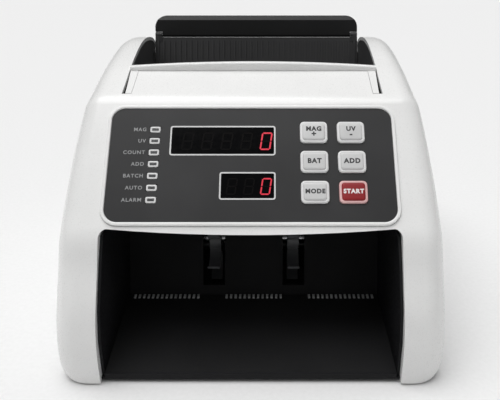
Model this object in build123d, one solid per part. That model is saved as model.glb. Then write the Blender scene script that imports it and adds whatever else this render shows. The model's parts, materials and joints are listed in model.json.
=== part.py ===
from build123d import *
import os
from math import acos, atan2, cos, hypot, radians, sin, sqrt

os.makedirs("parts", exist_ok=True)

# Axes: +X right, depth runs from the front edge (0) to the back (DEPTH), +Z up from the table.
# Driving dimensions, millimetres.
WIDTH = 257.0
DEPTH = 286.0
FRONT = -DEPTH / 2
WALL = 2.8
EDGE_ROUND = 16.0
FLOOR_GAP = 1.5          # the housing's lower edge above the table
FOOT = 2.5               # height of the rubber feet
POCKET_HALF = 99.0       # half width between the pods, where counted notes land
POD_WALL = 101.5         # outer face of a pod's wall beside the pocket
POD_END = 116.0          # depth where that wall stops
HOPPER_HALF = 93.0       # half width of the hopper opening in the top
GATE = 141.5             # depth where the hopper opening starts
PLATE_IN = 97.0          # inner face of the steel side plates
PLATE_OUT = 98.6
COVER_HINGE = (283.6, 64.0)

# Control panel: a plane tilted PANEL_TILT from level, with (u, v) measured on it.
PANEL_TILT = radians(46)
PANEL_MID = (68.8, 130.0)
PANEL_REACH = 46.0       # the flat runs this far up and down the slope from its middle
OVERLAY = (193.0, 83.0)
OVERLAY_TOP = 0.9
BEZEL = 2.4
BEZEL_TOP = 1.8
GROOVE = 0.3             # shadow gap round the bezel
KEY = (18.8, 15.9)
KEY_U = (42.7, 68.1)
KEY_V = (23.0, 1.0, -20.9)
KEY_NAMES = ("magnetic", "ultraviolet", "batch", "add", "mode", "start")
LAMP = (7.0, 4.4)
LAMP_U = -66.15
LAMP_V = [25.3 - 8.6 * i for i in range(7)]
WINDOWS = {"main": (-19.6, 17.0, 70.0, 20.0), "batch": (-2.3, -16.2, 35.4, 17.6)}
BOARD_DOWN = 10.4        # top of the display board below the panel surface

# Shafts along X: depth, height, radius of shaft, radius of its rollers.
FEED = (212.0, 112.0, 5.0, 23.6)
PICKUP = (185.0, 140.0, 4.0, 12.7)
TRANSPORT = (162.0, 68.7, 4.0, 12.0)
PINCH = (237.3, 94.3, 2.5, 7.0)
IMPELLER = (126.0, 45.0, 4.0, 36.0)
MAIN_MOTOR = (240.0, 42.0, 3.0, 22.0)
STACKER_MOTOR = (190.0, 30.0, 2.5, 15.0)
ROLLER_X = 31.0          # rollers and stacker wheels stand this far each side of the middle
IDLER_X = 62.0
FINS = 6                 # on each stacker wheel
FIN_START = 13.0         # turn of the first fin from level, degrees
RUNNING = 0.05           # radial clearance of a shaft in its bearing

# Hopper: the floor falls to the back, the back plate leans back.
FLOOR_TOP = (148.5, 173.8)
FLOOR_END = (229.0, 128.4)
BACK_TOP = (258.0, 182.7)
LEAN = radians(23.3)
EXTENSION_LEAN = radians(15)
EXTENSION_HINGE = (260.0, 184.9)
SCREW_FOOT = (254.0, 140.0)


def box(x0, x1, d0, d1, z0, z1):
    """Block between two corners given as x, depth and height."""
    centre = Pos((x0 + x1) / 2, FRONT + (d0 + d1) / 2, (z0 + z1) / 2)
    return centre * Box(x1 - x0, d1 - d0, z1 - z0)


def rod(x0, x1, d, z, r, hole=0.0):
    """Round bar along X, or a tube when it has a hole."""
    place = Pos((x0 + x1) / 2, FRONT + d, z) * Rot(0, 90, 0)
    bar = place * Cylinder(r, x1 - x0)
    return bar - place * Cylinder(hole, x1 - x0 + 1) if hole else bar


def across(face, x0, x1):
    """Side profile, drawn in depth and height, extruded from x0 to x1."""
    return extrude(Plane.YZ.offset(x0) * face, x1 - x0)


def prism(points, x0, x1):
    return across(make_face(Polyline([(FRONT + d, z) for d, z in points], close=True)), x0, x1)


def strip(start, end, thick, x0, x1):
    """Flat sheet from start to end in the side view, its thickness to the right of that way."""
    run = hypot(end[0] - start[0], end[1] - start[1])
    dn = (end[1] - start[1]) / run * thick
    zn = -(end[0] - start[0]) / run * thick
    return prism([start, end, (end[0] + dn, end[1] + zn), (start[0] + dn, start[1] + zn)], x0, x1)


def both(part):
    """The part and its mirror image across the middle plane."""
    return [part, mirror(part, about=Plane.YZ)]


def group(parts):
    return Compound(children=[p if isinstance(p, Solid) else p.solids()[0] for p in parts])


def save(name, part):
    export_step(part, f"parts/{name}.step")


PANEL = Plane(
    origin=(0, FRONT + PANEL_MID[0], PANEL_MID[1]),
    x_dir=(1, 0, 0),
    z_dir=(0, -sin(PANEL_TILT), cos(PANEL_TILT)),
)


def slab(u, v, wide, high, low, top, radius=0.0):
    """Rounded plate on the control panel, from low to top above its surface."""
    face = RectangleRounded(wide, high, radius) if radius else Rectangle(wide, high)
    return PANEL * Pos(u, v, low) * extrude(face, top - low)


def post(u, v, r, low, top):
    return PANEL * Pos(u, v, (low + top) / 2) * Cylinder(r, top - low)


def tilted(angle, origin):
    """Plane whose local Y leans back from upright by angle, in the side view."""
    return Plane(
        origin=(0, FRONT + origin[0], origin[1]),
        x_dir=(1, 0, 0),
        z_dir=(0, -cos(angle), sin(angle)),
    )


# ---------------------------------------------------------------- housing

def inset_spline(curve, inset):
    """Smooth curve a wall's thickness to the right of another one."""
    points = []
    for i in range(13):
        here, way = curve @ (i / 12), curve % (i / 12)
        points.append((here.X + way.Y * inset, here.Y - way.X * inset))
    ends = [curve % 0, curve % 1]
    return Spline(points, tangents=[(way.X, way.Y) for way in ends])


def side_outline(inset=0.0):
    """Side silhouette of the housing, carried below the table so that its foot can be rounded."""
    run = (cos(PANEL_TILT), sin(PANEL_TILT))
    low = (FRONT + PANEL_MID[0] - PANEL_REACH * run[0], PANEL_MID[1] - PANEL_REACH * run[1])
    high = (FRONT + PANEL_MID[0] + PANEL_REACH * run[0], PANEL_MID[1] + PANEL_REACH * run[1])
    nose = [(0, 16), (7.2, 48), (24.5, 77)]
    crest = [(115.3, 169.3), (140.3, 177.0), (174, 185.6), (205, 189.6), (232, 187.6), (260, 177.5),
             (278, 156), (286, 118)]
    front = Spline([(FRONT + d, z) for d, z in nose] + [low], tangents=((0, 1), run))
    top = Spline([high] + [(FRONT + d, z) for d, z in crest], tangents=(run, (0, -1)))
    if inset:
        front = inset_spline(front, inset)
        top = inset_spline(top, inset)
    foot = Polyline(top @ 1, (FRONT + DEPTH - inset, -30), (FRONT + inset, -30), front @ 0)
    return make_face(Curve() + [front, Line(front @ 1, top @ 0), top, foot])


def front_outline(inset):
    """Front silhouette: bowed sides that tuck in at the bottom."""
    half = WIDTH / 2 - inset
    bow = 480.0 - inset
    tuck = 26.4 - inset
    sweep = radians(29.5)
    start = 14.0
    bend = (half - tuck + tuck * cos(sweep), start - tuck * sin(sweep))
    mid = (half - tuck + tuck * cos(sweep / 2), start - tuck * sin(sweep / 2))
    toe = (bend[0] - 28 * sin(sweep), bend[1] - 28 * cos(sweep))
    widest = 70.0
    top = 230.0
    head = (half - bow + sqrt(bow ** 2 - (top - widest) ** 2), top)
    waist = (half - bow + sqrt(bow ** 2 - (150 - widest) ** 2), 150)
    right = [Line(toe, bend), ThreePointArc(bend, mid, (half, start)), Line((half, start), (half, widest)),
             ThreePointArc((half, widest), waist, head)]
    left = [edge.mirror(Plane.YZ) for edge in right]
    caps = [Line(head, (-head[0], top)), Line(toe, (-toe[0], toe[1]))]
    return make_face(Curve() + right + left + caps)


def blank(inset):
    """Solid of the housing's outer form, or of the same form a wall's thickness inside it."""
    body = extrude(Plane.YZ * side_outline(inset), amount=140, both=True)
    body &= extrude(Plane.XZ * front_outline(inset), amount=200, both=True)
    body = body.solids()[0]
    sharp = [e for e in body.edges() if abs(e.center().X) > 95 and e.bounding_box().min.Z > -29]
    sharp += [e for e in body.edges() if abs(e.center().X) > 95 and e.bounding_box().size.Z > 5
              and e not in sharp]
    return body.fillet(EDGE_ROUND - inset, sharp)


def pocket_cutter():
    """Space between the pods, with a roof that hangs a little lower in the middle."""
    side = POCKET_HALF
    roof = ThreePointArc((5 - side, 96.8), (0, 93.8), (side - 5, 96.8))
    corners = [RadiusArc((-side, 91.6), (5 - side, 96.8), 5.2),
               RadiusArc((side - 5, 96.8), (side, 91.6), 5.2)]
    walls = Polyline((side, 91.6), (side, -40), (-side, -40), (-side, 91.6))
    face = make_face(Curve() + [roof, walls] + corners)
    return extrude(Plane.XZ.offset(-(FRONT + 118)) * face, 150)


def panel_holes(grow):
    """Cutters for the windows, keys and lamps, each grown by the same gap all round."""
    cut = [slab(u, v, w + 2 * grow, h + 2 * grow, -20, 5) for u, v, w, h in WINDOWS.values()]
    cut += [slab(u, v, KEY[0] + 2 * grow, KEY[1] + 2 * grow, -20, 5, 3.0) for u in KEY_U for v in KEY_V]
    cut += [slab(LAMP_U, v, LAMP[0] + 2 * grow, LAMP[1] + 2 * grow, -20, 5) for v in LAMP_V]
    return cut


def bezel_ring(gap=0.0):
    """Raised frame round the overlay; a gap widens it outwards, for the groove that it sits in."""
    wide, high = OVERLAY[0] + 0.4, OVERLAY[1] + 0.4
    reach = 2 * (BEZEL + gap)
    outer = slab(0, 0, wide + reach, high + reach, -0.8, BEZEL_TOP, 11.6 + gap)
    return outer - slab(0, 0, wide, high, -2, BEZEL_TOP + 1, 9.2)


BOARD_POSTS = [(u, v) for u in (-88.0, 88.0) for v in (-27.0, 32.0)]


def upper_housing(outer, inner):
    shell = outer - inner
    pods = box(POCKET_HALF, POD_WALL, -5, POD_END, -35, 100)
    lip = box(-POD_WALL, POD_WALL, 25, 44, 88, 103)
    for piece in both(pods) + [lip]:
        shell += outer & piece
    shell -= pocket_cutter()
    shell -= box(-HOPPER_HALF, HOPPER_HALF, GATE - 0.5, 300, 61.2, 230)
    notch = box(86, HOPPER_HALF, 110, GATE, 150, 200)
    lug = box(85, 96, 279.4, 285.7, 54, 66.5)
    for piece in both(notch):
        shell -= piece
    for piece in both(lug):
        shell += piece
    shell -= rod(-120, 120, *COVER_HINGE, 1.5)
    shell -= box(-200, 200, -20, 320, -60, FLOOR_GAP)
    shell -= box(-70.3, 70.3, 275, 300, 11.7, 54.3)
    shell -= bezel_ring(GROOVE)
    shell -= panel_holes(0.35)
    for u, v in BOARD_POSTS:
        shell += post(u, v, 3.5, -BOARD_DOWN, -WALL + 0.4)
        shell -= post(u, v, 1.25, -BOARD_DOWN - 1, -1.2)
    return shell.solids()[0]


def rear_cover(outer, inner):
    """Door at the back of the note path, hinged on its lower edge."""
    cover = (outer - inner) & box(-92.6, 92.6, 262, 300, 64.0, 168)
    for piece in both(box(84.3, 95, 270, 300, 60, 67.6)):
        cover -= piece
    cover += rod(-84, 84, *COVER_HINGE, 2.2)
    cover -= rod(-90, 90, *COVER_HINGE, 1.5)
    cover -= box(-11, 11, 250, 300, 150, 190)
    for i in range(6):
        z = 82 + 9 * i
        cover -= box(-60, 60, 270, 300, z, z + 3)
    return cover.solids()[0]


def case_parts(outer, inner):
    save("upper_housing", upper_housing(outer, inner))
    save("rear_cover", rear_cover(outer, inner))
    lining = blank(WALL + 0.4)
    tray = lining & box(-200, 200, 3.2, 282, FOOT, FOOT + 1.5)
    tray += box(-96.5, 96.5, 3.2, 4.7, FOOT, 7.0)
    for slot in both(box(POCKET_HALF - 0.1, POD_WALL + 0.1, -5, POD_END + 0.1, 0, 10)):
        tray -= slot
    feet = [(x, d) for x in (-111, 111) for d in (24, 258)] + [(0, 14)]
    screws = [(x, d) for x in (-108, 108) for d in (60, 140, 220)]
    for x, d in screws:
        tray -= Pos(x, FRONT + d, FOOT) * Cylinder(1.7, 8)
    save("base_pan", tray)
    save("rubber_feet", group(Pos(x, FRONT + d, FOOT / 2) * Cylinder(7.5, FOOT) for x, d in feet))
    heads = [Pos(x, FRONT + d, FOOT - 0.6) * Cylinder(3.2, 1.2) for x, d in screws]
    shanks = [Pos(x, FRONT + d, FOOT + 4) * Cylinder(1.65, 8) for x, d in screws]
    pairs = [(h + s).solids()[0] for h, s in zip(heads, shanks)]
    for u, v in BOARD_POSTS:
        low = -BOARD_DOWN - 1.6
        pairs.append((post(u, v, 2.8, low - 1.4, low) + post(u, v, 1.2, low - 1, -4)).solids()[0])
    save("case_screws", group(pairs))


# ---------------------------------------------------------------- control panel

def key(u, v):
    cap = slab(u, v, *KEY, -2.2, 3.0, 3.0)
    cap = chamfer(cap.faces().sort_by(Axis(PANEL.origin, PANEL.z_dir))[-1].edges(), 0.9)
    skirt = slab(u, v, KEY[0] + 2.4, KEY[1] + 2.4, -4.2, -3.2, 3.5)
    neck = slab(u, v, KEY[0] - 2, KEY[1] - 2, -3.3, -2.1, 2.5)
    return (cap + neck + skirt + post(u, v, 2.4, -7.0, -4.1)).solids()[0]


def panel_parts():
    bezel = bezel_ring().solids()[0]
    rims = bezel.faces().sort_by(Axis(PANEL.origin, PANEL.z_dir))[-1].edges()
    save("panel_bezel", fillet(rims, 0.8).solids()[0])
    overlay = slab(0, 0, *OVERLAY, 0, OVERLAY_TOP, 9.0)
    save("panel_overlay", (overlay - panel_holes(0.35)).solids()[0])
    save("display_windows", group(slab(u, v, w, h, -0.8, 1.0) for u, v, w, h in WINDOWS.values()))
    spots = [(u, v) for v in KEY_V for u in KEY_U]
    for name, (u, v) in zip(KEY_NAMES, spots):
        save(f"key_{name}", key(u, v))
    save("indicator_lights", group(slab(LAMP_U, v, *LAMP, 0.3 - BOARD_DOWN, 1.1) for v in LAMP_V))
    board = slab(0, 2.5, 188, 70, -BOARD_DOWN - 1.6, -BOARD_DOWN)
    for u, v in BOARD_POSTS:
        board -= post(u, v, 1.6, -BOARD_DOWN - 3, 0)
    switches = [slab(u, v, 6, 6, -BOARD_DOWN, -BOARD_DOWN + 2.0) for u, v in spots]
    save("display_board", group([board] + switches))
    modules = [slab(u, v, w - 0.6, h - 0.6, -BOARD_DOWN, -1.0) for u, v, w, h in WINDOWS.values()]
    save("digit_modules", group(modules))


# ---------------------------------------------------------------- hopper

def feed_gate(outer, inner):
    """Bowed white bar at the front of the hopper, with an arm let into the top each side."""
    crown = make_face(Curve() + [
        ThreePointArc((-92.4, 180.8), (0, 183.8), (92.4, 180.8)),
        Polyline((92.4, 180.8), (92.4, 171), (-92.4, 171), (-92.4, 180.8)),
    ])
    bar = extrude(Plane.XZ.offset(-(FRONT + GATE + 5.5)) * crown, 5.5)
    top = [e for e in bar.edges() if e.center().Z > 180 and e.length > 50]
    bar = fillet(top, 2.0)
    plan = Polyline([(86.3, 110.6), (90.5, 110.6), (92.0, GATE + 1), (86.3, GATE + 1)], close=True)
    arm = extrude(Pos(0, FRONT, 0) * make_face(plan), 220) & (outer - inner)
    for piece in both(arm):
        bar += piece
    return bar.solids()[0]


def back_plate():
    """Ribbed plate that the notes lean on, with a lug each side for the extension's pin."""
    face = tilted(LEAN, BACK_TOP)
    length = (BACK_TOP[1] - 139.0) / cos(LEAN)
    plate = face * Pos(0, -length / 2 + 0.1, -1.5) * Box(185.6, length + 0.6, 3)
    ribs = [face * Pos(5 * i, -length / 2 - 1.2, 0.5) * Box(1.6, length - 2.4, 1.2) for i in range(-18, 19)]
    for rib in ribs:
        plate += rib
    d, z = EXTENSION_HINGE
    web = prism([(d - 2.2, z), (d - 3.8, z - 5.5), (d + 1.6, z - 6.5), (d + 2.3, z)], 86.4, 92.6)
    for piece in both(web) + both(rod(86.4, 92.6, d, z, 2.4)):
        plate += piece
    return (plate - rod(-95, 95, d, z, 1.5)).solids()[0]


def extension():
    """Flip-up plate above the back plate, round at its top corners, bevelled along its front edge."""
    high, half, corner, foot = 17.4, 92.5, 11.0, 2.7
    sides = Polyline((-half, high - corner), (-half, foot), (-86, foot), (-86, 0), (86, 0), (86, foot),
                     (half, foot), (half, high - corner))
    outline = make_face(Curve() + [
        sides,
        RadiusArc((half, high - corner), (half - corner, high), -corner),
        Line((half - corner, high), (corner - half, high)),
        RadiusArc((corner - half, high), (-half, high - corner), -corner),
    ])
    plate = Pos(0, 0, -2) * extrude(outline, 4)
    wedge = Polyline([(high - 4.4, 2.01), (high + 1, 2.01), (high + 1, -1.4)], close=True)
    plate -= Plane(origin=(-100, 0, 0), x_dir=(0, 1, 0), z_dir=(1, 0, 0)) * extrude(make_face(wedge), 200)
    plate = tilted(EXTENSION_LEAN, EXTENSION_HINGE) * plate
    plate += rod(-86, 86, *EXTENSION_HINGE, 2.0)
    plate -= rod(-95, 95, *EXTENSION_HINGE, 1.05)
    return plate.solids()[0]


def hopper_parts(outer, inner):
    lining = extrude(Plane.YZ * side_outline(WALL + 0.3), amount=140, both=True)
    cheek = lining & box(93.2, PLATE_IN, GATE, 262, 126, 200)
    cheek -= rod(90, 99, *PICKUP[:2], 9)
    cheek -= box(92, 94.4, 243.2, 244.8, 164, 172)
    save("hopper_cheeks", group(both(cheek)))
    floor = strip(FLOOR_TOP, FLOOR_END, 2.5, -93.2, 93.2)
    for slot in both(box(ROLLER_X - 10.5, ROLLER_X + 10.5, 209, 235, 100, 160)):
        floor -= slot
    for slot in both(box(ROLLER_X - 8.5, ROLLER_X + 8.5, 178.5, 202, 120, 180)):
        floor -= slot
    save("hopper_floor", floor.solids()[0])
    save("feed_gate", feed_gate(outer, inner))
    save("hopper_back_plate", back_plate())
    save("hopper_extension", extension())
    save("hinge_pins", group([rod(-92.6, 92.6, *EXTENSION_HINGE, 1.0), rod(-94, 94, *COVER_HINGE, 1.45)]))


# ---------------------------------------------------------------- separator and its gap screw

SLIDE = tilted(LEAN, SCREW_FOOT)     # local Y runs up the screw, local Z points forward


def along(x0, x1, y0, y1, z0, z1):
    """Block in the separator's own leaning axes."""
    return SLIDE * Pos((x0 + x1) / 2, (y0 + y1) / 2, (z0 + z1) / 2) * Box(x1 - x0, y1 - y0, z1 - z0)


def pin_up(x, y0, y1, r):
    return SLIDE * Pos(x, (y0 + y1) / 2, 0) * Rot(90, 0, 0) * Cylinder(r, y1 - y0)


def separator_parts():
    rail = along(-93.2, 93.2, 8, 12, -6, 6) - pin_up(0, 0, 20, 2.5 + RUNNING)
    for x in (-22, 22):
        rail += pin_up(x, -13, 9, 2.0)
    save("separator_rail", rail.solids()[0])
    nip_y, nip_z = -17.6, 5.4
    block = along(-44, 44, -13, -2, -6, 8) - pin_up(0, -30, 10, 2.9)
    for x in (-31.5, 31.5):
        block -= SLIDE * Pos(x, nip_y, nip_z) * Rot(0, 90, 0) * Cylinder(9.6, 16.6)
    for x in (-22, 22):
        block -= pin_up(x, -30, 10, 2.0 + RUNNING)
    for x in (-43, -23, 20, 40):
        block += along(x, x + 3, nip_y - 3, -12, nip_z - 3, nip_z + 2.6)
    axle = [SLIDE * Pos(x, nip_y, nip_z) * Rot(0, 90, 0) * Cylinder(1.8, 23) for x in (-31.5, 31.5)]
    for bar in axle:
        block -= bar
    save("separator_block", block.solids()[0])
    save("separator_axles", group(axle))
    tyre = Rot(0, 90, 0) * (Cylinder(9.0, 15) - Cylinder(1.8, 16))
    save("separator_rollers", group(SLIDE * Pos(x, nip_y, nip_z) * tyre for x in (-31.5, 31.5)))
    save("gap_screw", pin_up(0, -11, 27, 2.5).solids()[0])
    grip = pin_up(0, 25, 35, 7.5) - pin_up(0, 24, 27, 2.5)
    for i in range(12):
        a = radians(30 * i)
        groove = SLIDE * Pos(8.1 * cos(a), 30, 8.1 * sin(a)) * Rot(90, 0, 0) * Cylinder(1.2, 12)
        grip -= groove
    save("gap_knob", grip.solids()[0])


# ---------------------------------------------------------------- shafts, rollers and drives

def pulley(x0, x1, d, z, r, bore):
    """Toothed-belt pulley drawn plain between its two flanges."""
    return (rod(x0, x1, d, z, r) + rod(x0 - 0.8, x0, d, z, r + 1.6) + rod(x1, x1 + 0.8, d, z, r + 1.6)
            - rod(x0 - 3, x1 + 3, d, z, bore))


def loop(first, second, grow):
    """Face round two circles and the flat runs between them; a circle is depth, height, radius."""
    (d1, z1, r1), (d2, z2, r2) = first, second
    r1, r2 = r1 + grow, r2 + grow
    heading = atan2(z2 - z1, d2 - d1)
    spread = acos((r1 - r2) / hypot(d2 - d1, z2 - z1))
    flat = []
    for d, z, r, sides in ((d1, z1, r1, (1, -1)), (d2, z2, r2, (-1, 1))):
        for side in sides:
            a = heading + side * spread
            flat.append((FRONT + d + r * cos(a), z + r * sin(a)))
    face = make_face(Polyline(flat, close=True))
    return face + Pos(FRONT + d1, z1) * Circle(r1) + Pos(FRONT + d2, z2) * Circle(r2)


def belt(x0, x1, first, second):
    """Belt at rest around two pulleys, a little clear of both."""
    return across(loop(first, second, 1.8), x0, x1) - across(loop(first, second, 0.3), x0 - 1, x1 + 1)


def roller_pair(spec, wide, offset_x, core):
    d, z, _, r = spec
    return [rod(x - wide / 2, x + wide / 2, d, z, r, core) for x in (-offset_x, offset_x)]


def stacker_wheel(x):
    """Wheel of curved fins that swings each note down into the pocket."""
    d, z, bore, reach = IMPELLER
    tip = reach - 0.6
    lower = ThreePointArc((9, 0), (26, 6.5), (tip, 0))
    upper = ThreePointArc((9, 2.2), (26, 8.4), (tip - 0.1, 1.9))
    fin = make_face(Curve() + [lower, upper, Line((9, 0), (9, 2.2)), Line((tip, 0), (tip - 0.1, 1.9))])
    wheel = Circle(12)
    for i in range(FINS):
        wheel += Rot(0, 0, FIN_START + 360 / FINS * i) * fin
    wheel -= Circle(bore)
    return across(Pos(FRONT + d, z) * wheel, x - 4.5, x + 4.5)


def shaft_parts():
    d, z, r, _ = FEED
    save("feed_shaft", group([rod(-117, 117, d, z, r), pulley(104, 109, d, z, 20, r),
                              pulley(112.4, 115.6, d, z, 12, r), pulley(-110, -104, d, z, 14, r)]))
    save("feed_rollers", group(roller_pair(FEED, 18, ROLLER_X, r)))
    disc = rod(-114.4, -113.4, d, z, 17, r)
    for i in range(12):
        a = radians(30 * i)
        disc -= Pos(-114, FRONT + d + 14 * cos(a), z + 14 * sin(a)) * Rot(30 * i, 0, 0) * Box(3, 4, 2)
    save("timing_disc", disc.solids()[0])
    d, z, r, _ = PICKUP
    save("pickup_shaft", group([rod(-101, 117, d, z, r), pulley(112.4, 115.6, d, z, 12, r)]))
    save("pickup_rollers", group(roller_pair(PICKUP, 14, ROLLER_X, r)))
    d, z, r, _ = TRANSPORT
    save("transport_shaft", group([rod(-112, 101, d, z, r), pulley(-110, -104, d, z, 7, r)]))
    save("transport_rollers", group(roller_pair(TRANSPORT, 14, IDLER_X, r)))
    d, z, r, _ = PINCH
    save("pinch_shaft", rod(-101, 101, d, z, r).solids()[0])
    save("pinch_rollers", group(roller_pair(PINCH, 14, ROLLER_X, r)))
    d, z, r, _ = IMPELLER
    save("impeller_shaft", group([rod(-119, 101, d, z, r), pulley(-117.5, -113, d, z, 18, r)]))
    save("stacker_wheels", group(stacker_wheel(x).solids()[0] for x in (-ROLLER_X, ROLLER_X)))
    belts = [belt(104.3, 108.7, (*FEED[:2], 20), (*MAIN_MOTOR[:2], 8)),
             belt(112.6, 115.4, (*FEED[:2], 12), (*PICKUP[:2], 12)),
             belt(-109.6, -104.4, (*FEED[:2], 14), (*TRANSPORT[:2], 7)),
             belt(-117.2, -113.3, (*STACKER_MOTOR[:2], 6), (*IMPELLER[:2], 18))]
    save("drive_belts", group(belts))


def motor(spec, back, face):
    """Round motor case, its mounting boss in the side plate, and a bore for its shaft."""
    d, z, r, case = spec
    toward = 1 if face > back else -1
    can = rod(*sorted((back, face)), d, z, case)
    can = fillet(can.edges().filter_by(GeomType.CIRCLE), 2.0)
    can += rod(*sorted((face, face + toward * 1.6)), d, z, case * 0.4)
    return (can - rod(*sorted((face - toward * 25, face + toward * 5)), d, z, r + RUNNING)).solids()[0]


def motor_parts():
    d, z, r, _ = MAIN_MOTOR
    save("main_motor", motor(MAIN_MOTOR, 32, PLATE_IN))
    save("main_motor_shaft", group([rod(76, 111, d, z, r), pulley(104, 109, d, z, 8, r)]))
    d, z, r, _ = STACKER_MOTOR
    save("stacker_motor", motor(STACKER_MOTOR, -48, -PLATE_IN))
    save("stacker_motor_shaft", group([rod(-119, -76, d, z, r), pulley(-117.5, -113, d, z, 6, r)]))


# ---------------------------------------------------------------- chassis and note path

SIDE_PLATE = [(5, 4), (5.5, 30), (11.5, 50), (28, 77), (38.5, 91), (50, 91), (50, 103), (98, 152),
              (120, 163), (150, 171), (205, 181), (238, 176), (262, 158), (272, 120), (272, 4)]
TIE_RODS = [(128, 97), (255, 75), (172, 14), (268, 14)]
BEARINGS = (FEED, PICKUP, TRANSPORT, IMPELLER)


def side_plate(right):
    low, high = (PLATE_IN, PLATE_OUT) if right else (-PLATE_OUT, -PLATE_IN)
    plate = prism(SIDE_PLATE, low, high)
    for spec in BEARINGS:
        plate -= rod(low - 1, high + 1, *spec[:2], 8)
    plate -= rod(low - 1, high + 1, *PINCH[:2], PINCH[2] + RUNNING)
    spec = MAIN_MOTOR if right else STACKER_MOTOR
    plate -= rod(low - 1, high + 1, *spec[:2], spec[3] * 0.4)
    return plate.solids()[0]


def bearing(x, spec):
    """Flanged ball bearing set in a side plate."""
    d, z, r, _ = spec
    out = 1 if x > 0 else -1
    ring = sorted((out * 95.6, out * 100.4))
    flange = sorted((out * PLATE_OUT, out * (PLATE_OUT + 1)))
    body = rod(*ring, d, z, 8) + rod(*flange, d, z, 9.4)
    return body - rod(*sorted((out * 90, out * 103)), d, z, r + RUNNING)


def guides():
    """Curved sheet behind the feed rollers, then two flat sheets that lead the notes forward."""
    d, z, _, _ = FEED
    ring = rod(-PLATE_IN, PLATE_IN, d, z, 28.2, 26.4)
    wedge = prism([(d, z), (d + 60, z + 2), (d + 60, z - 60), (d - 4, z - 60)], -PLATE_IN, PLATE_IN)
    curve = ring & wedge
    for slot in both(box(ROLLER_X - 9, ROLLER_X + 9, d + 14, d + 40, z - 27, z - 9)):
        curve -= slot
    lower = strip((206, 85.0), (148, 78.0), -1.4, -PLATE_IN, PLATE_IN)
    upper = strip((196, 86.2), (150, 80.8), 1.4, -PLATE_IN, PLATE_IN)
    for slot in both(box(IDLER_X - 9, IDLER_X + 9, 147, 177, 70, 95)):
        lower -= slot
    return [curve, lower, upper]


def chassis_parts():
    save("right_side_plate", side_plate(True))
    save("left_side_plate", side_plate(False))
    save("tie_rods", group(rod(-PLATE_IN, PLATE_IN, d, z, 4) for d, z in TIE_RODS))
    save("shaft_bearings", group(bearing(x, spec) for spec in BEARINGS for x in (-1, 1)))
    save("note_guides", group(g.solids()[0] for g in guides()))
    tray = strip((5.2, 6.4), (88, 13.5), 1.6, -96.8, 96.8)
    back = strip((89.2, 13.0), (115, 75), 1.6, -96.8, 96.8)
    for slot in both(box(ROLLER_X - 8.5, ROLLER_X + 8.5, 78, 140, 20, 80)):
        back -= slot
    save("stacker_plate", tray.solids()[0])
    save("stacker_back_plate", back.solids()[0])
    save("pocket_roof", box(-96.8, 96.8, 52, 122, 90, 91.5))


# ---------------------------------------------------------------- electrical parts

def electrical_parts():
    board = box(-113.5, -111.9, 26, 100, 12, 72)
    chips = [box(-111.9, -109.5, 38, 52, 30, 44), box(-111.9, -106.5, 60, 70, 22, 34),
             box(-111.9, -104, 78, 94, 14, 24), box(-111.9, -108, 78, 86, 48, 60)]
    save("main_board", group([board] + chips))
    core = box(-88, -32, 212, 260, 4, 48)
    coil = box(-80, -40, 216, 256, 4.01, 54)
    save("power_transformer", (core + coil).solids()[0])
    save("uv_lamp", group([rod(-60, 60, 182, 99, 5.5), rod(-70, -60, 182, 99, 7), rod(60, 70, 182, 99, 7)]))
    d, z = FEED[:2]
    eye = box(-117.5, -110.9, d - 4, d + 4, z + 11, z + 25)
    eye -= box(-115.4, -112.4, d - 5, d + 5, z + 5, z + 21)
    sensors = [box(x - 6, x + 6, 168, 176, 85.6, 92) for x in (-20, 20)]
    save("note_sensors", group(sensors + [eye]))


ROCKER_PIVOT = (277.5, 33.0)


def power_rocker():
    """Two-faced rocker, at rest with its lower half pressed in, on two moulded trunnions."""
    rear = [(274.5, 26), (274.5, 40), (280, 43.2), (286.0, 42.2), (283.4, 33), (283.9, 23.9), (280, 22.8)]
    return (prism(rear, -6.9, 6.9) + rod(-8.2, 8.2, *ROCKER_PIVOT, 1.6)).solids()[0]


def rear_parts():
    """Plate at the lower back with the mains inlet, the power switch and a service socket."""
    back = 285.4
    plate = box(-70, 70, 283.2, back, 12, 54)
    plate -= box(-54, -26, 280, 290, 22.5, 43.5)
    plate -= box(-7.4, 7.4, 280, 290, 21.5, 45.2)
    plate -= box(31, 45, 280, 290, 26, 40)
    plate += box(31, 45, 272, 284, 26, 40) - box(32.5, 43.5, 273.5, 290, 27.5, 38.5)
    frame = box(-9, 9, 270, 284, 19.5, 47) - box(-7.4, 7.4, 271.5, 290, 21.5, 45.2)
    plate += frame
    plate -= rod(-8.3, 8.3, *ROCKER_PIVOT, 1.6 + RUNNING)
    save("rear_socket_panel", plate.solids()[0])
    shell = box(-53.8, -26.2, 264, 285.8, 22.7, 43.3) - box(-52, -28, 267, 290, 25, 41)
    pins = [box(x - 1, x + 1, 266, 278, z - 2, z + 2) for x, z in ((-46, 30.5), (-34, 30.5), (-40, 36))]
    for pin in pins:
        shell += pin
    save("power_inlet", shell.solids()[0])
    save("power_rocker", power_rocker())


def main():
    outer = blank(0)
    inner = blank(WALL)
    case_parts(outer, inner)
    panel_parts()
    hopper_parts(outer, inner)
    separator_parts()
    shaft_parts()
    motor_parts()
    chassis_parts()
    electrical_parts()
    rear_parts()


main()
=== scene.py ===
import json
import math

import bmesh
import bpy
from mathutils import Matrix, Vector


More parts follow.
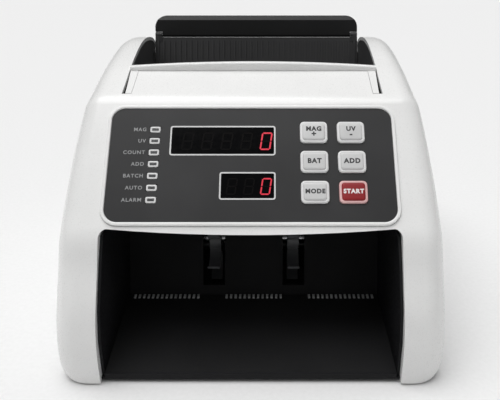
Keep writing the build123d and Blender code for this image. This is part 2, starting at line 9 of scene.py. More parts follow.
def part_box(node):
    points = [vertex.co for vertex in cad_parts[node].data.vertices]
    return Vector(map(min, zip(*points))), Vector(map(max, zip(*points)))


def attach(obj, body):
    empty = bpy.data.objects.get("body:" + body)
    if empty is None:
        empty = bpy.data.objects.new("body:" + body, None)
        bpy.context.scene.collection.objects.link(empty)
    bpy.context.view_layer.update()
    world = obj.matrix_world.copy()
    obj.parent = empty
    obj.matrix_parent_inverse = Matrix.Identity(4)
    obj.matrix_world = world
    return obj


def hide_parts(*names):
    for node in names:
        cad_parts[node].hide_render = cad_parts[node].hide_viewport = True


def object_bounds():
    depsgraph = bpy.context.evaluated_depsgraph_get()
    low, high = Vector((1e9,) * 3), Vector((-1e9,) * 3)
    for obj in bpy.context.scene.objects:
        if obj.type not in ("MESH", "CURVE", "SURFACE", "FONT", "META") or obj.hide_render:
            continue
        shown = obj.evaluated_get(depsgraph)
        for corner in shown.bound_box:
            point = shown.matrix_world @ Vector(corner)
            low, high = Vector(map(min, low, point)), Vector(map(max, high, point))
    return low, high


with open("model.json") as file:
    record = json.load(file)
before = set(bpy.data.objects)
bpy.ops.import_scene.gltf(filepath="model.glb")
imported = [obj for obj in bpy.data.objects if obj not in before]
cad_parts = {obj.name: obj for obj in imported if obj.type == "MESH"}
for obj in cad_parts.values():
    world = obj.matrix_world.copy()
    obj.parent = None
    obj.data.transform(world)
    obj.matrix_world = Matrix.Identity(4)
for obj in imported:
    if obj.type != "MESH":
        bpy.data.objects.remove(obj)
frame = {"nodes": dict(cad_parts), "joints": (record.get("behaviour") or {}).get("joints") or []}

MM = 0.001
FRONT = -143.0           # y of the housing's foremost point, mm; depths below are counted from it
MERGE = 0.001 * MM       # corners closer than this are one corner
CAD_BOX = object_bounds()
NODES = frame["nodes"]
JOINTS = {joint["name"]: joint for joint in frame["joints"]}


# ---------------------------------------------------------------- small tools

def linear(code, alpha=1.0):
    """Linear colour from an sRGB hex code such as '#F2F2F0'."""
    channels = [int(code[i:i + 2], 16) / 255 for i in (1, 3, 5)]
    return [c / 12.92 if c <= 0.04045 else ((c + 0.055) / 1.055) ** 2.4 for c in channels] + [alpha]


def add(tree, kind, links=None, **settings):
    """Adds a node, sets its properties, and fills its inputs with values or other nodes' sockets."""
    made = tree.nodes.new(kind)
    for name, value in settings.items():
        setattr(made, name, value)
    for name, value in (links or {}).items():
        if isinstance(value, bpy.types.NodeSocket):
            tree.links.new(value, made.inputs[name])
        else:
            made.inputs[name].default_value = value
    return made


# ---------------------------------------------------------------- materials

NOISE_SPAN = {"From Min": 0.3, "From Max": 0.7}      # nearly all of a noise pattern lies between these
RELIEF_STRENGTH = 0.6
LACQUER_ROUGHNESS = 0.12


def start_material(name, **inputs):
    """A material with one Principled shader and the object's own coordinates, in metres."""
    made = bpy.data.materials.new(name)
    made.use_nodes = True
    tree = made.node_tree
    tree.nodes.clear()
    shader = add(tree, "ShaderNodeBsdfPrincipled", inputs)
    add(tree, "ShaderNodeOutputMaterial", {"Surface": shader.outputs[0]})
    place = add(tree, "ShaderNodeTexCoord").outputs["Object"]
    return made, tree, shader, place


def surface(name, dark, light, cloud_mm, grain_mm, rough, relief_mm, sag_mm=0.0, stretch=(1, 1, 1),
            ior=1.53, shine=0.5, coat=0.0, metal=0.0):
    """Two close tones in soft clouds, under a fine relief that also breaks up the sheen.

    cloud_mm and grain_mm are the sizes of one cloud and one grain. rough is the roughness in a
    grain's hollow and on its crest. relief_mm is the grain's depth, and sag_mm the cloud's, which
    bends reflections a little. stretch below 1 draws the grain out along that axis.
    """
    made, tree, shader, place = start_material(name, **{
        "IOR": ior, "Specular IOR Level": shine, "Metallic": metal,
        "Coat Weight": coat, "Coat Roughness": LACQUER_ROUGHNESS})
    cloud = add(tree, "ShaderNodeTexNoise", {"Vector": place, "Scale": 1 / (cloud_mm * MM), "Detail": 3})
    share = add(tree, "ShaderNodeMapRange", {"Value": cloud.outputs[0], **NOISE_SPAN})
    tone = add(tree, "ShaderNodeMix", {0: share.outputs[0], 6: linear(dark), 7: linear(light)},
               data_type="RGBA")
    drawn = add(tree, "ShaderNodeMapping", {"Vector": place, "Scale": stretch})
    grain = add(tree, "ShaderNodeTexNoise", {"Vector": drawn.outputs[0], "Scale": 1 / (grain_mm * MM),
                                             "Detail": 2})
    sheen = add(tree, "ShaderNodeMapRange", {"Value": grain.outputs[0], **NOISE_SPAN,
                                             "To Min": rough[0], "To Max": rough[1]})
    sag = add(tree, "ShaderNodeBump", {"Height": cloud.outputs[0], "Distance": sag_mm * MM})
    relief = add(tree, "ShaderNodeBump", {"Height": grain.outputs[0], "Distance": relief_mm * MM,
                                          "Strength": RELIEF_STRENGTH, "Normal": sag.outputs[0]})
    tree.links.new(tone.outputs[2], shader.inputs["Base Color"])
    tree.links.new(sheen.outputs[0], shader.inputs["Roughness"])
    tree.links.new(relief.outputs[0], shader.inputs["Normal"])
    return made


def laminations():
    """Transformer core of varnished silicon steel sheets: thin dark and light edges in a stack."""
    made, tree, shader, place = start_material("varnished_core_laminations", Metallic=0.6, Roughness=0.5)
    sheet_mm, gap_mm = 0.5, 0.06
    sheets = add(tree, "ShaderNodeTexWave", {"Vector": place, "Scale": 1 / (sheet_mm * MM) / math.tau,
                                             "Distortion": 0.4}, bands_direction="X").outputs[1]
    tone = add(tree, "ShaderNodeMix", {0: sheets, 6: linear("#3A3B3D"), 7: linear("#6F7175")},
               data_type="RGBA")
    edges = add(tree, "ShaderNodeBump", {"Height": sheets, "Distance": gap_mm * MM,
                                         "Strength": RELIEF_STRENGTH})
    tree.links.new(tone.outputs[2], shader.inputs["Base Color"])
    tree.links.new(edges.outputs[0], shader.inputs["Normal"])
    return made


def glowing_led():
    """Red gallium arsenide segments behind a diffuser: a crimson glow, a little hotter in places."""
    made, tree, shader, place = start_material("lit_led_segment", **{
        "Base Color": linear("#B00C22"), "Roughness": 0.4, "Emission Strength": 0.62})
    cloud_mm = 2.5
    cloud = add(tree, "ShaderNodeTexNoise", {"Vector": place, "Scale": 1 / (cloud_mm * MM)})
    share = add(tree, "ShaderNodeMapRange", {"Value": cloud.outputs[0], **NOISE_SPAN})
    tone = add(tree, "ShaderNodeMix", {0: share.outputs[0], 6: linear("#C8102E"), 7: linear("#E42A4A")},
               data_type="RGBA")
    tree.links.new(tone.outputs[2], shader.inputs["Emission Color"])
    return made


# size of the soft clouds in a moulding, mm: as wide as the ribs behind it are apart
SINK = 45
# Blasted and eroded skins have grains of 0.05 to 0.2 mm. Here they are drawn about 1 mm wide, as fine
# as still shows, and so are the grinding lines of the steel.

# Injection-moulded ABS under a thin clear lacquer: even off-white with a soft sheen over faint sinks
WHITE_ABS = surface("moulded_white_abs", "#F2F2F1", "#F7F7F6", SINK, 0.9, (0.25, 0.36), 0.012, 0.3,
                    coat=0.25)
# ABS off a spark-eroded tool: near-black whose fine pebbling scatters highlights
BLACK_ABS = surface("textured_black_abs", "#131314", "#1A1A1B", SINK, 1.1, (0.45, 0.56), 0.05, 0.15,
                    shine=0.3)
POCKET_BLACK = surface("matt_black_abs", "#19191A", "#1F1F20", SINK, 1.0, (0.65, 0.76), 0.04, 0.1,
                       shine=0.15)
RIBBED_BLACK = surface("ribbed_grey_black_abs", "#303031", "#3A3A3B", SINK, 1.1, (0.43, 0.54), 0.05,
                       0.1, shine=0.4)
# ABS off a lightly polished tool: lighter at a glancing view, which shows the cheeks' curve
SATIN_BLACK = surface("satin_black_abs", "#3A3A3B", "#454546", SINK, 1.1, (0.29, 0.4), 0.03, 0.1,
                      shine=0.8)
# ABS off a mirror-polished tool: black that gives sharp, dark reflections
GLOSS_BLACK = surface("polished_black_abs", "#0B0B0C", "#121213", SINK, 1.5, (0.13, 0.24), 0.01, 0.05)
# Turned and moulded acetal: waxy, slightly translucent-looking white and greys
NATURAL_POM = surface("natural_acetal", "#D5D2C8", "#DEDBD2", SINK, 1.0, (0.35, 0.46), 0.02, ior=1.48)
COMB_GREY = surface("pale_grey_acetal", "#A9AAAB", "#B7B8B9", SINK, 1.0, (0.3, 0.41), 0.02, ior=1.48)
GREY_POM = surface("grey_acetal", "#5B5C5E", "#6B6C6E", SINK, 1.0, (0.37, 0.48), 0.03, ior=1.48)
# Textured polycarbonate film, printed from behind: flat charcoal with a dry, even sheen
FILM = surface("printed_polycarbonate_film", "#2D2D2E", "#353536", SINK, 0.7, (0.37, 0.48), 0.02,
               ior=1.58, shine=0.2)
# Cast acrylic with a dense smoke tint: almost black, with hardly any glare
WINDOW = surface("smoked_acrylic", "#020203", "#040406", SINK, 3.0, (0.1, 0.21), 0.001, ior=1.49,
                 shine=0.05)
# Key caps of through-coloured ABS, matt from a fine blasted tool; their rims are lighter copies of the
# key colours, a painted highlight
KEY_GREY = surface("matt_grey_abs", "#CFCFCF", "#D9D9D9", SINK, 0.8, (0.35, 0.46), 0.02)
KEY_RED = surface("matt_red_abs", "#8E1C22", "#9A2428", SINK, 0.8, (0.4, 0.51), 0.02, shine=0.3)
KEY_RIM_HIGHLIGHT = surface("grey_abs_painted_rim_highlight", "#E4E4E4", "#ECECEC", SINK, 0.8, (0.29, 0.4), 0.02)
RED_RIM_HIGHLIGHT = surface("red_abs_painted_rim_highlight", "#E3B4B3", "#EABFBE", SINK, 0.8, (0.29, 0.4), 0.02)
# Frosted diffusers and the unlit slots behind them
LENS = surface("frosted_lens", "#C9CCC9", "#D6D8D5", SINK, 0.8, (0.25, 0.36), 0.01)
SLOT_DARK = surface("dark_lamp_slot", "#2E2F31", "#38393B", SINK, 0.8, (0.25, 0.36), 0.01)
LED_ON = glowing_led()
LED_OFF = surface("unlit_led_segment", "#040203", "#060404", SINK, 0.8, (0.35, 0.46), 0.004, shine=0.05)
# Pad and screen printing: opaque, slightly rough ink with a dead flat colour
INK_WHITE = surface("white_pad_print", "#F0E9E8", "#F6F0EF", SINK, 0.6, (0.45, 0.56), 0.01)
INK_DARK = surface("dark_pad_print", "#242426", "#2C2C2F", SINK, 0.6, (0.45, 0.56), 0.01)
INK_GREY = surface("grey_screen_print", "#9C9D9E", "#A6A7A8", SINK, 0.6, (0.45, 0.56), 0.01)
INK_LIGHT = surface("light_screen_print", "#DADADA", "#E4E4E4", SINK, 0.6, (0.4, 0.51), 0.01)
# Glass-fibre board under solder mask, and the parts on it: glossy green, dull black epoxy
BOARD = surface("green_solder_mask", "#0E4A25", "#12592D", SINK, 1.5, (0.25, 0.36), 0.02)
CHIP_BLACK = surface("moulded_epoxy", "#18181A", "#222224", SINK, 0.5, (0.5, 0.61), 0.03)
# The ultraviolet lamp: deep violet filter glass between glazed ends
LAMP_GLASS = surface("violet_filter_glass", "#1B1238", "#251A4A", SINK, 4.0, (0.03, 0.14), 0.004)
CERAMIC = surface("glazed_ceramic", "#E6E4DE", "#EFEDE8", SINK, 2.0, (0.15, 0.26), 0.01)
# Polyester tape round the transformer's windings: shiny amber with the wire's lumps under it
TAPE = surface("polyester_winding_tape", "#C79A2E", "#D6AB3C", SINK, 2.0, (0.25, 0.36), 0.03)
# Sheet steel under baked powder: satin black with a fine orange peel
SHEET = surface("powder_coated_sheet_steel", "#18181A", "#1F1F21", 30, 1.6, (0.5, 0.62), 0.05, 0.05,
                shine=0.15)
# Steel, zinc plated or ground bright: grey metal whose fine lines run along its length
PLATED = surface("zinc_plated_steel", "#A6A7AA", "#D9DADC", 9, 0.6, (0.24, 0.44), 0.02,
                 stretch=(0.05, 1, 1), ior=1.5, metal=1.0)
GROUND = surface("ground_steel", "#B9BABD", "#D9DADC", 9, 0.3, (0.14, 0.34), 0.02, stretch=(0.05, 1, 1),
                 ior=1.5, metal=1.0)
# Moulded nitrile rubber: dull, slightly dusty black with a toothed skin
RUBBER = surface("moulded_nitrile_rubber", "#161616", "#2B2A29", 7, 0.8, (0.72, 0.9), 0.08, ior=1.52)
CORE = laminations()


def paint(material, *names):
    """Gives whole CAD nodes a material."""
    for name in names:
        slots = NODES[name].data.materials
        slots.clear()
        slots.append(material)


paint(WHITE_ABS, "upper_housing", "rear_cover", "feed_gate", "panel_bezel")
paint(BLACK_ABS, "hopper_floor", "hopper_extension", "note_guides", "separator_block",
      "rear_socket_panel", "gap_knob")
paint(RIBBED_BLACK, "hopper_back_plate")
paint(SATIN_BLACK, "hopper_cheeks")
paint(POCKET_BLACK, "stacker_plate", "stacker_back_plate", "pocket_roof")
paint(GLOSS_BLACK, "power_inlet", "power_rocker", "digit_modules", "note_sensors", "uv_lamp")
paint(FILM, "panel_overlay")
paint(WINDOW, "display_windows")
paint(KEY_GREY, "key_magnetic", "key_ultraviolet", "key_batch", "key_add", "key_mode")
paint(KEY_RED, "key_start")
paint(LENS, "indicator_lights")
paint(BOARD, "display_board", "main_board")
paint(SHEET, "base_pan", "left_side_plate", "right_side_plate", "separator_rail")
paint(PLATED, "tie_rods", "hinge_pins", "case_screws", "shaft_bearings", "gap_screw", "separator_axles",
      "main_motor", "stacker_motor", "main_motor_shaft", "stacker_motor_shaft")
paint(CORE, "power_transformer")
paint(GROUND, "feed_shaft", "pickup_shaft", "transport_shaft", "pinch_shaft", "impeller_shaft")
paint(RUBBER, "feed_rollers", "pickup_rollers", "transport_rollers", "separator_rollers", "drive_belts",
      "rubber_feet")
paint(GREY_POM, "pinch_rollers", "stacker_wheels", "timing_disc")


def mark(material, test, *names):
    """Gives the faces of CAD nodes whose centre passes the test another material."""
    for name in names:
        mesh = NODES[name].data
        mesh.materials.append(material)
        for face in mesh.polygons:
            if test(face.center / MM):
                face.material_index = len(mesh.materials) - 1


# pulleys, winding tape, chips, the lamp's tube and ends, and the inlet's pins, told apart in mm
mark(NATURAL_POM, lambda p: abs(p.x) > 103.1, "feed_shaft", "main_motor_shaft")
mark(NATURAL_POM, lambda p: p.x > 111.5, "pickup_shaft")
mark(NATURAL_POM, lambda p: p.x < -103.1, "transport_shaft")
mark(NATURAL_POM, lambda p: p.x < -112.2, "impeller_shaft", "stacker_motor_shaft")
mark(TAPE, lambda p: p.z > 48.1, "power_transformer")
mark(CHIP_BLACK, lambda p: p.x > -111.8, "main_board")
mark(LAMP_GLASS, lambda p: abs(p.x) < 59.9, "uv_lamp")
mark(CERAMIC, lambda p: abs(p.x) > 59.9, "uv_lamp")
mark(PLATED, lambda p: abs(p.x + 40) < 7.2 and 124.1 < p.y < 135.1 and 28.4 < p.z < 38.1,
     "power_inlet")


# ---------------------------------------------------------------- the panel's own plane

NORMAL = -Vector(JOINTS["key_start_press"]["axis"]).normalized()
UP = NORMAL.cross(Vector((1, 0, 0))).normalized()


def panel_sheet():
    """Matrix that takes (u, v, height) on the overlay's printed face to the frame, in metres."""
    low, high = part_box("panel_overlay")
    lift = max(NORMAL.dot(v.co) for v in NODES["panel_overlay"].data.vertices)
    centre = (low + high) / 2
    centre += NORMAL * (lift - NORMAL.dot(centre))
    made = Matrix((Vector((1, 0, 0)), UP, NORMAL)).transposed().to_4x4()
    made.translation = centre
    return made


SHEET_PLACE = panel_sheet()
TO_SHEET = SHEET_PLACE.inverted()


def solids(node, to=Matrix.Identity(4)):
    """Each solid of a node: its box, (low, high) in metres, in the axes that the matrix leads to."""
    mesh = bmesh.new()
    mesh.from_mesh(NODES[node].data)
    bmesh.ops.remove_doubles(mesh, verts=mesh.verts, dist=MERGE)
    left = set(mesh.verts)
    found = []
    while left:
        reach = [left.pop()]
        island = []
        while reach:
            vert = reach.pop()
            island.append(to @ vert.co)
            for edge in vert.link_edges:
                other = edge.other_vert(vert)
                if other in left:
                    left.discard(other)
                    reach.append(other)
        found.append((Vector([min(p[i] for p in island) for i in range(3)]),
                      Vector([max(p[i] for p in island) for i in range(3)])))
    mesh.free()
    return sorted(found, key=lambda box: (-round(box[1].y, 4), box[0].x))


def top_patches(node):
    """The solids of a node on the panel: (centre u, centre v, width, height, lift) in metres."""
    return [((low.x + high.x) / 2, (low.y + high.y) / 2, high.x - low.x, high.y - low.y, high.z)
            for low, high in solids(node, TO_SHEET)]


def new_piece(name, mesh, body, materials, slot, *stands_for):
    """Links a finished mesh as a piece that rides on a body."""
    piece = bpy.data.objects.new(name, mesh)
    bpy.context.scene.collection.objects.link(piece)
    for material in materials:
        mesh.materials.append(material)
    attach(piece, body)
    if stands_for:
        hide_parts(*stands_for)


def rounded_loop(wide, high, radius, z, steps=6):
    """Points round a rounded rectangle, counter-clockwise."""
    points = []
    for corner, (sx, sy) in enumerate(((1, -1), (1, 1), (-1, 1), (-1, -1))):
        for i in range(steps + 1):
            turn = math.radians(-90 + 90 * corner + 90 * i / steps)
            x = sx * (wide / 2 - radius) + radius * math.cos(turn)
            y = sy * (high / 2 - radius) + radius * math.sin(turn)
            points.append((x, y, z))
    return points


def stack(mesh, loops, place, marks=None, closed=True):
    """Skins a pile of equal loops, bottom to top; marks gives each band's material number."""
    rings = [[mesh.verts.new(place @ Vector(p)) for p in loop] for loop in loops]
    count = len(rings[0])
    for band, (below, above) in enumerate(zip(rings, rings[1:])):
        for i in range(count):
            j = (i + 1) % count
            face = mesh.faces.new((below[i], below[j], above[j], above[i]))
            face.material_index = marks[band] if marks else 0
            face.smooth = True
    if closed:
        mesh.faces.new(rings[0][::-1])
        cap = mesh.faces.new(rings[-1])
        cap.material_index = marks[-1] if marks else 0


def finish_mesh(name, mesh, crease=35):
    """Turns a working mesh into a finished one, faces outwards, smooth but for the creases."""
    bmesh.ops.recalc_face_normals(mesh, faces=mesh.faces)
    for face in mesh.faces:
        face.smooth = True
    made = bpy.data.meshes.new(name)
    mesh.to_mesh(made)
    mesh.free()
    made.set_sharp_from_angle(angle=math.radians(crease))
    return made


def lathe(mesh, profile, place, steps=64):
    """Turns a closed loop of (along, radius, material number) about the local X axis."""
    rings = []
    for along, radius, _ in profile:
        turns = [math.tau * i / steps for i in range(steps)]
        rings.append([mesh.verts.new(place @ Vector((along, radius * math.cos(t), radius * math.sin(t))))
                      for t in turns])
    for k, ring in enumerate(rings):
        after = rings[(k + 1) % len(rings)]
        for i in range(steps):
            j = (i + 1) % steps
            face = mesh.faces.new((ring[i], ring[j], after[j], after[i]))
            face.material_index = profile[k][2]


def repeat(name, seed, count, start, step, material):
    """Row of copies of a small mesh made with geometry nodes: count of them from start, step apart."""
    tree = bpy.data.node_groups.new(name, "GeometryNodeTree")
    sockets = (("Geometry", "NodeSocketGeometry"), ("Count", "NodeSocketInt"),
               ("Start", "NodeSocketVector"), ("Step", "NodeSocketVector"),
               ("Material", "NodeSocketMaterial"))
    made = {label: tree.interface.new_socket(label, in_out="INPUT", socket_type=kind)
            for label, kind in sockets}
    tree.interface.new_socket("Geometry", in_out="OUTPUT", socket_type="NodeSocketGeometry")
    entry = tree.nodes.new("NodeGroupInput").outputs
    line = add(tree, "GeometryNodeMeshLine", {"Count": entry["Count"], "Start Location": entry["Start"],
                                              "Offset": entry["Step"]})
    copies = add(tree, "GeometryNodeInstanceOnPoints", {"Points": line.outputs[0],
                                                        "Instance": entry["Geometry"]})
    real = add(tree, "GeometryNodeRealizeInstances", {"Geometry": copies.outputs[0]})
    coat = add(tree, "GeometryNodeSetMaterial", {"Geometry": real.outputs[0],
                                                 "Material": entry["Material"]})
    add(tree, "NodeGroupOutput", {0: coat.outputs[0]})
    holder = bpy.data.objects.new(name, seed)
    bpy.context.scene.collection.objects.link(holder)
    modifier = holder.modifiers.new(name, "NODES")
    modifier.node_group = tree
    sizes = {"Count": count, "Start": start, "Step": step, "Material": material}
    for label, value in sizes.items():
        modifier[made[label].identifier] = value
    bpy.context.view_layer.update()
    mesh = bpy.data.meshes.new_from_object(holder.evaluated_get(bpy.context.evaluated_depsgraph_get()))
    holder.modifiers.remove(modifier)
    bpy.data.objects.remove(holder)
    return mesh


# ---------------------------------------------------------------- keys and their legends

CAPITALS = 0.729         # height of the font's capitals over its size
INK_THICK = 0.06 * MM    # lettering is drawn this thick


def text_mesh(words, height, place, offset=0.0, align="CENTER", spacing=1.0):
    """Lettering as a thin closed mesh; height is the capitals' height and offset fattens the strokes."""
    curve = bpy.data.curves.new("words", "FONT")
    curve.body = words
    curve.size = height / CAPITALS
    curve.extrude = INK_THICK / 2
    curve.offset = offset
    curve.align_x = align
    curve.align_y = "CENTER"
    curve.space_character = spacing
    curve.resolution_u = 3
    holder = bpy.data.objects.new("words", curve)
    bpy.context.scene.collection.objects.link(holder)
    bpy.context.view_layer.update()
    made = bpy.data.meshes.new_from_object(holder.evaluated_get(bpy.context.evaluated_depsgraph_get()))
    bpy.data.objects.remove(holder)
    made.transform(place)
    return made


def join(name, meshes):
    """One finished mesh out of several, with the rims of their parts closed."""
    mesh = bmesh.new()
    for part in meshes:
        mesh.from_mesh(part)
    bmesh.ops.remove_doubles(mesh, verts=mesh.verts, dist=MERGE)
    return finish_mesh(name, mesh)


def block(mesh, low, high, place=Matrix.Identity(4), edge=0.2):
    """Box between two corners in millimetres with a chamfer round its top."""
    (x0, y0, z0), (x1, y1, z1) = low, high
    loops = []
    for inset, z in ((0, z0), (0, z1 - edge), (edge, z1)):
        left, right, near, far = x0 + inset, x1 - inset, y0 + inset, y1 - inset
        corners = ((left, near), (right, near), (right, far), (left, far))
        loops.append([(x * MM, y * MM, z * MM) for x, y in corners])
    stack(mesh, loops, place)


# inset from the key's edge and height above the printed face, both mm; the last bands are the raised pad
KEY_PROFILE = ((-1.2, -5.1), (-1.2, -4.2), (1.0, -4.0), (1.0, -3.1), (0, -3.0), (0, 0.75), (0.22, 1.1),
               (0.6, 1.28), (1.35, 1.3), (1.6, 1.22), (1.85, 1.5), (2.1, 1.86), (2.5, 2.03), (3.4, 2.1))
RIM_BANDS = 9            # bands of the profile in the rim's material; the rest are the pad's
KEY_SKIRT = 1.2          # flange under the panel, all round a key, mm
PAD_TOP = 2.12           # height of the legend over the printed face, mm


def key_cap(node, rim, pad, ink, slot, legends):
    """Key with a flat rim and a raised pad; its legend is printed on the pad."""
    u, v, wide, high, _ = top_patches(node)[0]
    wide, high = wide - 2 * KEY_SKIRT * MM, high - 2 * KEY_SKIRT * MM
    loops = []
    for inset, z in KEY_PROFILE:
        inset *= MM
        radius = max(3.0 * MM - 0.6 * inset, 1.2 * MM)
        loops.append(rounded_loop(wide - 2 * inset, high - 2 * inset, radius, z * MM))
    mesh = bmesh.new()
    place = SHEET_PLACE @ Matrix.Translation((u, v, 0))
    stack(mesh, loops, place, [0] * RIM_BANDS + [1] * (len(loops) - RIM_BANDS))
    new_piece(node + "_cap", finish_mesh(node + "_cap", mesh), node, [rim, pad], slot, node)
    words = [text_mesh(text, size * MM, place @ Matrix.Translation((0, lift * MM, PAD_TOP * MM)),
                       0.22 * MM, spacing=1.17) for text, size, lift in legends]
    new_piece(node + "_legend", join(node + "_legend", words), node, [ink], slot)


# for each key: what is printed on it, as (text, height of the capitals, offset up the key), mm
LEGENDS = {
    "key_magnetic": (("MAG", 3.3, 1.9), ("+", 4.2, -2.0)),
    "key_ultraviolet": (("UV", 3.3, 1.9), ("-", 4.2, -2.0)),
    "key_batch": (("BAT", 3.4, 0.0),),
    "key_add": (("ADD", 3.4, 0.0),),
    "key_mode": (("MODE", 3.1, 0.0),),
}
# each key's rim takes the lighter copy of its colour, a painted highlight
for key, legend in LEGENDS.items():
    key_cap(key, KEY_RIM_HIGHLIGHT, KEY_GREY, INK_DARK, "grey_key", legend)
key_cap("key_start", RED_RIM_HIGHLIGHT, KEY_RED, INK_WHITE, "red_key", (("START", 3.0, 0.0),))


# ---------------------------------------------------------------- overlay print, lamps and digits

def window_frames():
    """Thin light frames printed round the two windows, a little clear of their edges."""
    clear, band, low, top = 0.2 * MM, 1.0 * MM, 0.01 * MM, 0.13 * MM
    mesh = bmesh.new()
    for u, v, wide, high, _ in top_patches("display_windows"):
        inner = (wide + clear, high + clear, 0.9 * MM)
        outer = (inner[0] + 2 * band, inner[1] + 2 * band, 1.7 * MM)
        loops = [rounded_loop(*outer, low), rounded_loop(*outer, top), rounded_loop(*inner, top),
                 rounded_loop(*inner, low), rounded_loop(*outer, low)]
        stack(mesh, loops, SHEET_PLACE @ Matrix.Translation((u, v, 0)), closed=False)
    bmesh.ops.remove_doubles(mesh, verts=mesh.verts, dist=MERGE)
    new_piece("window_frames", finish_mesh("window_frames", mesh), "case", [INK_LIGHT], "overlay_film")


def lamp_bezels():
    """Each lamp: a pale moulded frame round a dark slot."""
    profile = ((0, -2.0), (0, 0.12), (0.25, 0.3), (0.95, 0.3), (1.2, 0.1), (1.25, -0.1))
    mesh = bmesh.new()
    for u, v, wide, high, _ in top_patches("indicator_lights"):
        loops = [rounded_loop(wide - 2 * inset * MM, high - 2 * inset * MM,
                              max(1.1 - 0.6 * inset, 0.3) * MM, z * MM) for inset, z in profile]
        stack(mesh, loops, SHEET_PLACE @ Matrix.Translation((u, v, 0)), [0, 0, 0, 0, 0, 1])
    new_piece("lamp_bezels", finish_mesh("lamp_bezels", mesh), "case", [INK_LIGHT, SLOT_DARK],
              "lamp_lens", "indicator_lights")


# what each lamp is for, top to bottom
LAMP_WORDS = ("MAG", "UV", "COUNT", "ADD", "BATCH", "AUTO", "ALARM")


def lamp_labels():
    """A word printed to the left of each lamp."""
    gap, lift, height = 2.6 * MM, 0.05 * MM, 2.7 * MM
    words = []
    for label, (u, v, wide, _, _) in zip(LAMP_WORDS, top_patches("indicator_lights")):
        place = SHEET_PLACE @ Matrix.Translation((u - wide / 2 - gap, v, lift))
        words.append(text_mesh(label, height, place, 0.06 * MM, "RIGHT", 1.2))
    new_piece("lamp_labels", join("lamp_labels", words), "case", [INK_GREY], "overlay_film")


# a digit's seven bars: (x, y) of the middle in half widths and half heights, and whether it is upright
BARS = {"a": (0, 1, False), "b": (1, 0.5, True), "c": (1, -0.5, True), "d": (0, -1, False),
        "e": (-1, -0.5, True), "f": (-1, 0.5, True), "g": (0, 0, False)}
BAR_THICK = 0.08 * MM


def led_bar(mesh, place, long, wide, number):
    """One six-sided segment, a thin closed plate in material number 0 or 1."""
    half, tip = long / 2, wide / 2
    outline = [(-half, 0), (-half + tip, -tip), (half - tip, -tip), (half, 0), (half - tip, tip),
               (-half + tip, tip)]
    low = [mesh.verts.new(place @ Vector((x, y, 0))) for x, y in outline]
    top = [mesh.verts.new(place @ Vector((x, y, BAR_THICK))) for x, y in outline]
    faces = [mesh.faces.new(low[::-1]), mesh.faces.new(top)]
    for i in range(6):
        j = (i + 1) % 6
        faces.append(mesh.faces.new((low[i], low[j], top[j], top[i])))
    for face in faces:
        face.material_index = number


def digit(mesh, place, wide, high, lit):
    """Seven-segment figure, slanted by eight degrees; the bars named in lit glow."""
    stroke = 0.14 * wide
    half_w, half_h = (wide - stroke) / 2, (high - stroke) / 2
    slant = Matrix.Identity(4)
    slant[0][1] = math.tan(math.radians(8))
    for name, (x, y, upright) in BARS.items():
        long = (half_h if upright else 2 * half_w) - 0.25 * stroke
        turn = Matrix.Rotation(math.radians(90 if upright else 0), 4, "Z")
        spot = Matrix.Translation((x * half_w, y * half_h, 0))
        led_bar(mesh, place @ slant @ spot @ turn, long, stroke, 0 if name in lit else 1)


# for the long and the short window: figures, their height and the distance between two, mm
FIGURES = ((5, 13.2, 13.4), (3, 12.0, 11.4))
FROM_RIGHT = 5.3         # last figure's middle from the window's right edge, mm


def digits():
    """The figures in both windows; the last in each shows zero and the rest are dark."""
    mesh = bmesh.new()
    for (u, v, wide, _, lift), (count, size, pitch) in zip(top_patches("display_windows"), FIGURES):
        last = u + wide / 2 - FROM_RIGHT * MM
        for i in range(count):
            spot = (last - i * pitch * MM, v - 0.5 * MM, lift + 0.02 * MM)
            digit(mesh, SHEET_PLACE @ Matrix.Translation(spot), 0.56 * size * MM, size * MM,
                  "abcdef" if i == 0 else "")
    new_piece("led_digits", finish_mesh("led_digits", mesh), "case", [LED_ON, LED_OFF], "smoked_window")


window_frames()
lamp_bezels()
lamp_labels()
digits()


# ---------------------------------------------------------------- note path

COMB_RUNS = ((-92.0, 15), (-21.0, 13), (43.0, 15))       # first tooth's x, mm, and number of teeth
COMB_PITCH = 3.5


def comb():
    """Short ribs along the foot of the stacker's back plate, between its slots."""
    seed = bmesh.new()
    slope = Matrix.Rotation(math.radians(4.9), 4, "X")
    block(seed, (-0.85, -2.2, 0), (0.85, 2.2, 1.1), slope, 0.3)
    tooth = finish_mesh("tooth", seed)
    step = Vector((COMB_PITCH, 0, 0)) * MM
    rows = [repeat("comb_row", tooth, count, Vector((x, FRONT + 86.0, 13.2)) * MM, step, COMB_GREY)
            for x, count in COMB_RUNS]
    new_piece("stacker_comb", join("stacker_comb", rows), "case", [COMB_GREY], "grey_plastic")


def roller_profile(wide, radius, bore, hub, grooves):
    """Closed loop for a grooved tyre on a dished hub, mm: material 0 is the tyre, 1 the hub."""
    half = wide / 2
    dish = min(2.5, half / 3)
    hub_side = [(half, bore), (half, bore + 1.6), (half - dish, bore + 2.0), (half - dish, hub - 1.2),
                (half - 0.4, hub - 0.8)]
    tyre_side = [(half - 0.4, hub), (half, hub + 0.4), (half, radius - 0.8), (half - 0.24, radius - 0.24),
                 (half - 0.8, radius)]
    points = [(-along, r, 1) for along, r in hub_side] + [(-along, r, 0) for along, r in tyre_side]
    pitch = (wide - 3.2) / grooves
    for i in range(grooves):
        mid = -half + 1.6 + pitch * (i + 0.5)
        points += [(mid - 0.45, radius, 0), (mid - 0.2, radius - 0.45, 0), (mid + 0.2, radius - 0.45, 0),
                   (mid + 0.45, radius, 0)]
    # a point's number is that of the band after it, so the tyre's last point starts the hub
    right = tyre_side[::-1] + hub_side[::-1]
    numbers = [0] * 4 + [1] * 6
    points += [(along, r, number) for (along, r), number in zip(right, numbers)]
    return [(along * MM, r * MM, number) for along, r, number in points]


